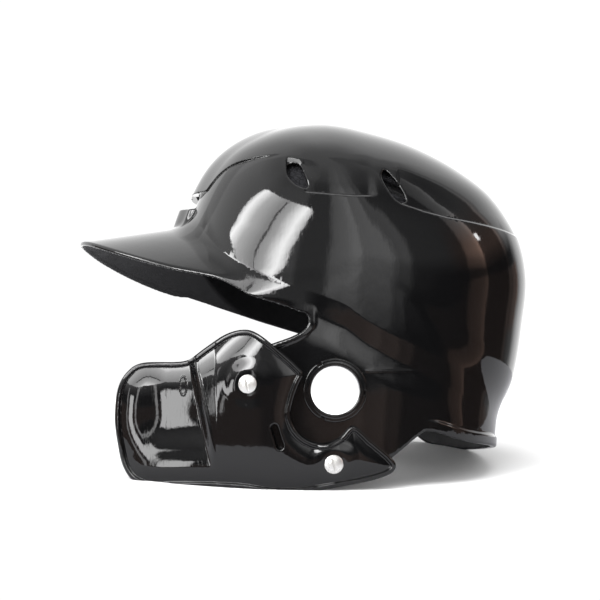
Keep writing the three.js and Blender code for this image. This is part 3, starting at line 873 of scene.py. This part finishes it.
def side_pad_loop(start, end, foot, top, inset):
    """The seam round a pad that lies against the side of the head."""
    a, height = rounded_loop((end - start) / 2, (top - foot) / 2, 5)
    angle = np.radians(a + (start + end) / 2)
    height = height + (top + foot) / 2
    centre = from_headband(np.zeros_like(height), np.zeros_like(height), height)
    out = from_headband(np.cos(angle), np.sin(angle), height) - centre
    return on_layer(centre, out, -inset)


def piping(name, path, sides=10):
    """A round cord along a closed path of places in the helmet's frame."""
    p = to_row(path)
    ahead = np.roll(p, -1, axis=0) - np.roll(p, 1, axis=0)
    ahead /= np.linalg.norm(ahead, axis=1)[:, None]
    middle = p.mean(0)
    out = p - middle
    out -= (out * ahead).sum(1)[:, None] * ahead
    out /= np.linalg.norm(out, axis=1)[:, None]
    side = np.cross(ahead, out)
    turn = np.linspace(0, 2 * math.pi, sides, endpoint=False)
    ring = out[:, None] * np.cos(turn)[:, None] + side[:, None] * np.sin(turn)[:, None]
    vertices = (p[:, None] + PIPING_RADIUS / 1000 * ring).reshape(-1, 3)
    number = np.arange(len(vertices)).reshape(len(p), sides)
    ahead_number = np.roll(number, -1, axis=0)
    corners = [number, ahead_number, np.roll(ahead_number, -1, axis=1), np.roll(number, -1, axis=1)]
    faces = np.stack(corners, -1).reshape(-1, 4)
    return mesh_object(name, vertices, faces)


def puffed(name, node, cap=CUSHION_CAP):
    """A padded cushion: the CAD solid as a closed skin, blown up a little as cloth and held at a cap."""
    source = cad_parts[node]
    piece = put(name, source.data.copy())
    piece.matrix_basis = source.matrix_basis
    apply_modifier(piece, "REMESH", mode="VOXEL", voxel_size=CUSHION_VOXEL / 1000, use_smooth_shade=True)
    normals = np.array([v.normal[:] for v in piece.data.vertices], np.float32)
    write_points(piece.data, read_points(piece.data) - CUSHION_TUCK / 1000 * normals)
    inflate(piece, cap / 1000)
    apply_modifier(piece, "SMOOTH", factor=0.5, iterations=3)
    apply_modifier(piece, "SUBSURF", levels=1)
    piece.data.polygons.foreach_set("use_smooth", [True] * len(piece.data.polygons))
    return piece


def apply_modifier(piece, kind, **settings):
    modifier = piece.modifiers.new("step", kind)
    for key, value in settings.items():
        setattr(modifier, key, value)
    bpy.context.view_layer.objects.active = piece
    bpy.ops.object.modifier_apply(modifier=modifier.name)


def inflate(piece, cap):
    """Lets the skin swell as cloth under pressure for a few frames, and keeps the shape it takes."""
    before = read_points(piece.data)
    modifier = piece.modifiers.new("cloth", "CLOTH")
    for key, value in CLOTH.items():
        setattr(modifier.settings, key, value)
    modifier.settings.effector_weights.gravity = 0
    modifier.point_cache.frame_start = 1
    modifier.point_cache.frame_end = CLOTH_FRAMES
    for number in range(1, CLOTH_FRAMES + 1):
        bpy.context.scene.frame_set(number)
    shaped = piece.evaluated_get(bpy.context.evaluated_depsgraph_get())
    move = read_points(shaped.data) - before
    piece.modifiers.remove(modifier)
    bpy.context.scene.frame_set(1)
    length = np.linalg.norm(move, axis=1)
    move *= (np.minimum(length, cap) / np.maximum(length, 1e-9))[:, None]
    write_points(piece.data, before + move)


# ---- materials


class Signal:
    """One output of a node. Arithmetic on it adds the maths nodes that work it out."""

    def __init__(self, graph, socket):
        self.graph = graph
        self.socket = socket

    def __add__(self, other):
        return self.graph.maths("ADD", self, other)

    def __sub__(self, other):
        return self.graph.maths("SUBTRACT", self, other)

    def __rsub__(self, other):
        return self.graph.maths("SUBTRACT", other, self)

    def __mul__(self, other):
        return self.graph.maths("MULTIPLY", self, other)

    def __truediv__(self, other):
        return self.graph.maths("DIVIDE", self, other)

    def at_least(self, other):
        return self.graph.maths("MAXIMUM", self, other)


class Graph:
    """Builds a node tree. Inputs are plain values or Signals, and each node gives back its Signal."""

    def __init__(self, tree):
        self.tree = tree
        tree.nodes.clear()

    def add(self, kind, inputs, output=0, **settings):
        node = self.tree.nodes.new(kind)
        for key, value in settings.items():
            setattr(node, key, value)
        self.fill(node, inputs)
        return Signal(self, node.outputs[output] if node.outputs else None)

    def fill(self, node, inputs):
        for key, value in inputs.items():
            if isinstance(value, Signal):
                self.tree.links.new(value.socket, node.inputs[key])
            else:
                node.inputs[key].default_value = value

    def maths(self, operation, a, b=0.0):
        return self.add("ShaderNodeMath", {0: a, 1: b}, operation=operation)

    def mix(self, share, a, b):
        a, b = (c if isinstance(c, Signal) else (*c, 1) for c in (a, b))
        return self.add("ShaderNodeMix", {"Factor": share, "A": a, "B": b}, "Result", data_type="RGBA")


class Material(Graph):
    """A material with one principled surface."""

    def __init__(self, name, **inputs):
        self.material = bpy.data.materials.new(name)
        self.material.use_nodes = True
        super().__init__(self.material.node_tree)
        self.surface = self.tree.nodes.new("ShaderNodeBsdfPrincipled")
        self.add("ShaderNodeOutputMaterial", {"Surface": Signal(self, self.surface.outputs[0])})
        self.place = self.add("ShaderNodeTexCoord", {}, "Object")
        self.set(**inputs)

    def set(self, **inputs):
        self.fill(self.surface, {key.replace("_", " "): value for key, value in inputs.items()})

    def noise(self, scale, detail, stretch=None):
        place = self.place
        if stretch:
            place = self.add("ShaderNodeMapping", {"Scale": stretch, "Vector": place})
        return self.add("ShaderNodeTexNoise", {"Scale": scale, "Detail": detail, "Vector": place}, "Fac")

    def tone(self, noise, first, second):
        self.set(Base_Color=self.mix(noise, first, second))

    def voronoi(self, scale, feature="F1"):
        inputs = {"Scale": scale, "Vector": self.place}
        return self.add("ShaderNodeTexVoronoi", inputs, "Distance", feature=feature)

    def wave(self, scale, direction):
        inputs = {"Scale": scale, "Distortion": 0.0, "Vector": self.place}
        return self.add("ShaderNodeTexWave", inputs, "Fac", bands_direction=direction)

    def spread(self, source, low, high, to_low, to_high):
        ends = {"From Min": low, "From Max": high, "To Min": to_low, "To Max": to_high}
        return self.add("ShaderNodeMapRange", {**ends, "Value": source})

    def bump(self, height, strength, distance, after=None):
        inputs = {"Strength": strength, "Distance": distance, "Height": height}
        if after:
            inputs["Normal"] = after
        return self.add("ShaderNodeBump", inputs)


def gloss_black(name, roughness):
    """Moulded gloss plastic: deep black, a trace of orange peel, hairline scratches and dust specks."""
    m = Material(name, Base_Color=(0.0035, 0.0035, 0.0038, 1), IOR=1.5)
    dull = m.spread(m.noise(26, 4), 0.35, 0.7, roughness, roughness + 0.035)
    dust = m.spread(m.voronoi(420), 0.0, 0.1, 0.25, 0.0)
    rare = m.spread(m.noise(60, 2), 0.6, 0.66, 0.0, 1.0)
    peel = m.bump(m.noise(170, 2), 0.05, 0.0006)
    scratch = m.spread(m.noise(22, 2, (1, 26, 3)), 0.49, 0.51, 0.0, 1.0)
    m.set(Roughness=dull + dust * rare, Normal=m.bump(scratch, 0.02, 0.0002, peel))
    return m.material


def inside_black():
    """The unpolished inside of the moulding and the brim's underside."""
    m = Material("inside_black", IOR=1.45, Specular_IOR_Level=0.25)
    m.tone(m.noise(35, 4), (0.012, 0.012, 0.013), (0.02, 0.02, 0.022))
    m.set(Roughness=m.spread(m.noise(90, 3), 0.3, 0.7, 0.5, 0.66))
    m.set(Normal=m.bump(m.noise(1400, 3), 0.25, 0.0003))
    return m.material


def plated_metal(name, colour, roughness, metallic):
    m = Material(name, Metallic=metallic)
    m.tone(m.noise(900, 3), colour, tuple(0.86 * c for c in colour))
    m.set(Roughness=m.spread(m.noise(500, 4), 0.3, 0.7, roughness, roughness + 0.15))
    m.set(Normal=m.bump(m.noise(2600, 2, (1, 1, 8)), 0.12, 0.0001))
    return m.material


def bead_foam():
    """Expanded bead foam: rounded beads pressed together, with the darker lines between them."""
    m = Material("bead_foam", Roughness=0.85, Specular_IOR_Level=0.2)
    bead = m.spread(m.voronoi(330, "DISTANCE_TO_EDGE"), 0.0, 0.12, 0.0, 1.0)
    m.tone(bead, (0.003, 0.003, 0.0035), (0.016, 0.016, 0.018))
    m.set(Normal=m.bump(m.noise(2200, 2), 0.2, 0.0002, m.bump(bead, 0.5, 0.0004)))
    return m.material


def mesh_fabric():
    """Knitted mesh: two crossed sets of ribs with holes between them, and loose fuzz."""
    m = Material("mesh_fabric", Roughness=0.9, Specular_IOR_Level=0.15)
    m.set(Sheen_Weight=0.35, Sheen_Roughness=0.5)
    weave = m.wave(360, "X") * m.wave(360, "DIAGONAL") + m.wave(300, "Z") * 0.6
    thread = m.spread(weave, 0.1, 0.9, 0.0, 1.0)
    m.tone(thread, (0.004, 0.004, 0.005), (0.03, 0.03, 0.034))
    m.set(Normal=m.bump(m.noise(2500, 2), 0.3, 0.0002, m.bump(weave, 0.6, 0.0005)))
    return m.material


def vinyl():
    """Soft black vinyl with a fine pebbled grain."""
    m = Material("vinyl", IOR=1.45, Specular_IOR_Level=0.4)
    grain = m.voronoi(900, "SMOOTH_F1")
    m.tone(m.noise(50, 3), (0.009, 0.009, 0.01), (0.016, 0.016, 0.017))
    m.set(Roughness=m.spread(grain, 0.1, 0.6, 0.38, 0.6), Normal=m.bump(grain, 0.35, 0.0004))
    return m.material


def rubber():
    m = Material("rubber", Roughness=0.75, Specular_IOR_Level=0.3)
    m.tone(m.noise(200, 3), (0.01, 0.01, 0.01), (0.02, 0.02, 0.02))
    m.set(Normal=m.bump(m.noise(1800, 3), 0.3, 0.0002))
    return m.material


def hook_loop():
    """Hook-and-loop tape: a dense field of small loops."""
    m = Material("hook_loop", Roughness=0.95, Specular_IOR_Level=0.1, Sheen_Weight=0.5)
    loops = m.voronoi(1500)
    m.tone(m.spread(loops, 0.0, 0.5, 0.0, 1.0), (0.03, 0.03, 0.033), (0.004, 0.004, 0.005))
    m.set(Normal=m.bump(loops, 0.8, 0.0006))
    return m.material


# ---- pieces


def finish_piece(piece, body, material, slot, *nodes):
    piece.data.materials.clear()
    piece.data.materials.append(material)
    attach(piece, body)
    if nodes:
        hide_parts(*nodes)


def dull_the_inside(piece, material):
    """Gives the shell's unpolished faces, the inside and the brim's underside, their own material."""
    piece.data.materials.append(material)
    mesh = piece.data
    centres = np.empty(len(mesh.polygons) * 3, np.float32)
    mesh.polygons.foreach_get("center", centres)
    x, y, z = to_helmet(centres.reshape(-1, 3)).T
    plain = dome(x, y, z)
    inner = np.maximum(plain + WALL, outer_face(x, y, z, plain) + THINNEST_WALL) < 0.5
    brim_foot = brim_top(x, y) - BRIM_THICK
    under = (z < brim_foot + 0.7) & (z > brim_foot - 6) & (y < TEMPLE_Y)
    under &= (plain > -WALL) & (BRIM_PLAN(x, y) < -1.6)
    mesh.polygons.foreach_set("material_index", (inner | under).astype(np.int32))


def build_hard_parts(gloss, inside):
    piece = moulded("shell_moulding", shell, SHELL_BOX, SHELL_CELL)
    finish_piece(piece, "helmet", gloss, "gloss_black", "shell")
    dull_the_inside(piece, inside)
    piece = moulded("ear_hole_trim", ear_ring, RING_BOX, RING_CELL)
    finish_piece(piece, "helmet", gloss, "gloss_black", "ear_hole_ring")
    piece = moulded("jaw_guard_moulding", jaw_guard, GUARD_BOX, GUARD_CELL)
    finish_piece(piece, "helmet", gloss_black("guard_gloss", 0.02), "guard_black", "jaw_guard")


def build_fasteners():
    bright = plated_metal("bright_nickel", (0.8, 0.79, 0.77), 0.26, 0.75)
    plated = plated_metal("zinc_plate", (0.5, 0.51, 0.52), 0.3, 1.0)
    soft = rubber()
    for which, slot_turn in SLOT_TURNS.items():
        screw, nut, ring = which + "_guard_screw", which + "_tee_nut", which + "_guard_washer"
        place, face = screw_frame(which)
        piece = moulded(which + "_slotted_screw", guard_screw(slot_turn), SCREW_BOX, SCREW_CELL, place, face)
        finish_piece(piece, which + "_screw", bright, "nickel", screw)
        piece = moulded(which + "_nut", tee_nut, SCREW_BOX, NUT_CELL, place, face)
        finish_piece(piece, "helmet", plated, "zinc", nut)
        piece = moulded(which + "_washer", washer, SCREW_BOX, SCREW_CELL, place, face)
        finish_piece(piece, "helmet", soft, "rubber_black", ring)


def build_liner():
    foam = bead_foam()
    for side, (start, end, foot) in LINER_BLOCKS.items():
        piece = moulded(side + "_foam_block", liner_block(start, end, foot), LINER_BOX, LINER_CELL)
        finish_piece(piece, "helmet", foam, "foam_grey", side + "_liner")
    crown = moulded("crown_foam_cap", crown_block, LINER_BOX, LINER_CELL)
    finish_piece(crown, "helmet", foam, "foam_grey", "crown_liner")


def build_pads():
    """The fabric pads and their piping, the ear cushion, and the tape under the crown pad."""
    cloth, skin, tape = mesh_fabric(), vinyl(), hook_loop()
    seam = PAD_INSET + PAD_THICK / 2
    for node, (start, end, foot, top) in SIDE_PADS.items():
        finish_piece(puffed(node + "_cushion", node), "helmet", cloth, "fabric_black", node)
        cord = piping(node + "_piping", side_pad_loop(start + 1, end - 1, foot + 1, top - 1, seam))
        finish_piece(cord, "helmet", skin, "vinyl_black")
    finish_piece(puffed("crown_cushion", "crown_pad"), "helmet", cloth, "fabric_black", "crown_pad")
    px, py = rounded_loop(41, 41, 2)
    start = from_headband(px, py - 12, np.full_like(px, 20))
    ring = on_layer(start, np.array([0.0, math.sin(LEAN), math.cos(LEAN)]), -seam)
    finish_piece(piping("crown_piping", ring), "helmet", skin, "vinyl_black")
    ear = puffed("ear_cushion", "ear_flap_pad", EAR_CUSHION_CAP)
    finish_piece(ear, "helmet", skin, "vinyl_black", "ear_flap_pad")
    for number in range(1, 5):
        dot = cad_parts["crown_pad_dot_%d" % number]
        dot.data.materials.clear()
        dot.data.materials.append(tape)


# ---- stage, light and camera: metres, degrees and watts

AZIMUTH = math.radians(85)
ELEVATION = math.radians(4.6)
DISTANCE = 1.3
LENS = 116.4
SENSOR = 36
AIM_OFFSET = (-0.0119, -0.0016, -0.0052)
FLOOR_RINGS = (0.1, 0.22, 0.36)
# Soft lamps, which the gloss doesn't mirror: centre, what it aims at, side and power.
LAMPS = {
    "key_front_left": ((0.55, -0.75, 1.3), (0, 0, 0.1), 0.7, 16),
    "top": ((0.1, -0.1, 1.7), (0, 0, 0), 1.4, 26),
}
# The studio as the gloss mirrors it: (degrees, brightness). Turn 0 is towards +X, height 90 is overhead.
ROOM_BY_TURN = [
    (-180, 1.9), (-160, 1.5), (-135, 1.5), (-110, 1.5), (-84, 1.4), (-60, 0.9), (-28, 0.9), (-25, 0.4),
    (-10, 0.4), (-7, 1.4), (0, 1.9), (4, 2.7), (5, 1.6), (13, 1.9), (14.5, 0.9), (20, 1.1), (22, 0.3),
    (60, 0.2), (61, 0.9), (74, 1.5), (79, 2.6), (80, 0.4), (90, 0.3), (109, 0.25), (111, 1.0), (116, 0.7),
    (118, 1.2), (132, 1.5), (180, 1.9),
]
ROOM_BY_HEIGHT = [
    (-90, 0.3), (-3, 0.2), (5, 0.2), (6, 0.06), (10, 0.06), (15, 0.5), (20, 1.0), (52, 0.9), (64, 0.6),
    (76, 0.75), (90, 0.8),
]
SOFTBOX_BY_TURN = [
    (-180, 6), (-94, 6), (-86, 20), (-74, 9), (-57, 5), (-46, 8), (-34, 22), (-28, 12), (180, 6),
]
# Small lamps: turns, heights, softness, brightness. Only the jaw guard mirrors the last four.
SMALL_LAMPS = [
    ((80.3, 84), (25.5, 30), 0.5, 16),
    ((-63.5, -56.5), (-1, 11), 0.7, 9),
    ((-52.5, -50), (1, 24), 0.7, 4),
    ((-69, -66.5), (-3, 17), 0.7, 3),
    ((-34, -31.5), (3, 16), 0.7, 3),
]
WHITE = (1, 1, 1)
WARM = (1.3, 0.84, 0.66)
BACKDROP = 1.05


def look(thing, centre, aim):
    thing.location = centre
    thing.rotation_euler = (Vector(aim) - Vector(centre)).to_track_quat("-Z", "Y").to_euler()


def make_camera():
    low, high = (Vector(c) for c in CAD_BOX)
    aim = (low + high) / 2 + Vector(AIM_OFFSET)
    level = math.cos(ELEVATION)
    away = Vector((math.sin(AZIMUTH) * level, -math.cos(AZIMUTH) * level, math.sin(ELEVATION)))
    camera = put("camera", bpy.data.cameras.new("camera"))
    camera.data.lens = LENS
    camera.data.sensor_width = SENSOR
    look(camera, aim + DISTANCE * away, aim)
    bpy.context.scene.camera = camera


def make_floor(steps=96):
    """A round white floor, with a painted reflection: darker where the gloss mirrors it."""
    turns = np.linspace(0, 2 * math.pi, steps, endpoint=False)
    vertices = [(0, 0, 0)] + [(r * math.cos(a), r * math.sin(a), 0) for r in FLOOR_RINGS for a in turns]
    faces = [(0, 1 + i, 1 + (i + 1) % steps) for i in range(steps)]
    for ring in range(len(FLOOR_RINGS) - 1):
        a, b = 1 + ring * steps, 1 + (ring + 1) * steps
        faces += [(a + i, b + i, b + (i + 1) % steps, a + (i + 1) % steps) for i in range(steps)]
    mesh = bpy.data.meshes.new("floor")
    mesh.from_pydata(vertices, [], faces)
    m = Material("white_floor", Roughness=0.9, Specular_IOR_Level=0.1)
    paper = m.mix(m.noise(3, 2), (0.9, 0.9, 0.9), (0.93, 0.93, 0.93))
    # Painted reflection: rays from the gloss see the floor grey, at about half the brightness the camera
    # sees.
    mirrored = m.add("ShaderNodeLightPath", {}, "Is Glossy Ray")
    m.tone(mirrored, paper, (0.5, 0.5, 0.52))
    mesh.materials.append(m.material)
    put("floor", mesh)


def make_lamps():
    for name, (centre, aim, side, power) in LAMPS.items():
        lamp = put(name, bpy.data.lights.new(name, "AREA"))
        lamp.data.size = side
        lamp.data.energy = power
        lamp.visible_glossy = False
        look(lamp, centre, aim)


class Sky(Graph):
    """Brightness by direction, whose turn and height are in degrees."""

    def __init__(self, tree):
        super().__init__(tree)
        place = self.add("ShaderNodeTexCoord", {}, "Generated")
        split = self.tree.nodes.new("ShaderNodeSeparateXYZ")
        self.fill(split, {0: place})
        x, y, z = (Signal(self, socket) for socket in split.outputs)
        self.turn = self.maths("ARCTAN2", y, x) * (180 / math.pi)
        self.height = self.maths("ARCSINE", z) * (180 / math.pi)

    def ramp(self, source, stops):
        """Straight steps between (degrees, value) stops."""
        low, high = stops[0][0], stops[-1][0]
        node = self.tree.nodes.new("ShaderNodeValToRGB")
        elements = node.color_ramp.elements
        while len(elements) < len(stops):
            elements.new(0.5)
        top = max(value for _, value in stops)
        for element, (at, value) in zip(elements, stops):
            element.position = (at - low) / (high - low)
            element.color = (value / top, value / top, value / top, 1)
        self.fill(node, {0: (source - low) / (high - low)})
        return Signal(self, node.outputs[0]) * top

    def step(self, source, start, end):
        inputs = {"From Min": start, "From Max": end, "Value": source}
        return self.add("ShaderNodeMapRange", inputs, interpolation_type="SMOOTHSTEP")

    def band(self, source, low, high, soft):
        return self.step(source, low - soft, low + soft) * self.step(source, high + soft, high - soft)

    def hump(self, source, middle, half):
        """Nearly nothing up to half away from the middle, and steep beyond."""
        return self.maths("POWER", self.maths("ABSOLUTE", (source - middle) / half), 6)


def room_walls(sky):
    """The room's light by turn, shaded by height except behind the helmet, and even overhead."""
    behind = sky.step(sky.turn, 118, 138).at_least(sky.step(sky.turn, -112, -132))
    shade = sky.ramp(sky.height, ROOM_BY_HEIGHT).at_least(behind)
    overhead = sky.step(sky.height, 56, 80)
    light = sky.ramp(sky.turn, ROOM_BY_TURN) * shade * (1 - overhead) + overhead
    dim_corner = sky.band(sky.turn, 26, 100, 12) * sky.step(sky.height, 40, 55)
    return light * (1 - dim_corner * 0.3)


def softbox(sky):
    """The large lamp at the front left: two bright tubes behind cloth, and a dark rod between them."""
    turn = sky.turn - (sky.height - 30) * 0.7
    across = sky.hump(turn, -59, 32)
    upward = sky.hump(sky.height + turn * 0.1, 27, 13)
    face = sky.step(across + upward, 1.25, 0.85)
    rod = sky.band(turn, -55.2, -53.2, 0.6) * sky.band(sky.height, 23, 44, 1)
    return face * sky.ramp(turn, SOFTBOX_BY_TURN) * (1 - rod * 0.9)


def warmth(sky, light):
    """How far the light is tinted: in the corner behind the ear and low down, but not in the lamps."""
    corner = sky.band(sky.turn, 50, 112, 8) * sky.step(sky.height, 50, 20)
    low = sky.band(sky.height, -7, 5, 1) * sky.step(light, 0.8, 0.4)
    return corner.at_least(low * 0.7) * sky.step(light, 9, 4)


def make_world():
    """Plain white for everything but the mirror images in the gloss, which see the studio."""
    world = bpy.data.worlds.new("studio")
    bpy.context.scene.world = world
    world.use_nodes = True
    sky = Sky(world.node_tree)
    light = room_walls(sky).at_least(softbox(sky))
    for turns, heights, soft, bright in SMALL_LAMPS:
        patch = sky.band(sky.turn, *turns, soft) * sky.band(sky.height, *heights, soft)
        light = light.at_least(patch * bright)
    tint = sky.mix(warmth(sky, light), WHITE, WARM)
    studio = sky.add("ShaderNodeBackground", {"Color": tint, "Strength": light})
    plain = sky.add("ShaderNodeBackground", {"Color": (*WHITE, 1), "Strength": BACKDROP})
    mirrored = sky.add("ShaderNodeLightPath", {}, "Is Glossy Ray")
    seen = sky.add("ShaderNodeMixShader", {0: mirrored, 1: plain, 2: studio})
    sky.add("ShaderNodeOutputWorld", {"Surface": seen})


# ---- everything

build_hard_parts(gloss_black("shell_gloss", 0.03), inside_black())
build_fasteners()
build_liner()
build_pads()
make_world()
make_floor()
make_lamps()
make_camera()
bpy.context.scene.view_settings.view_transform = "Standard"
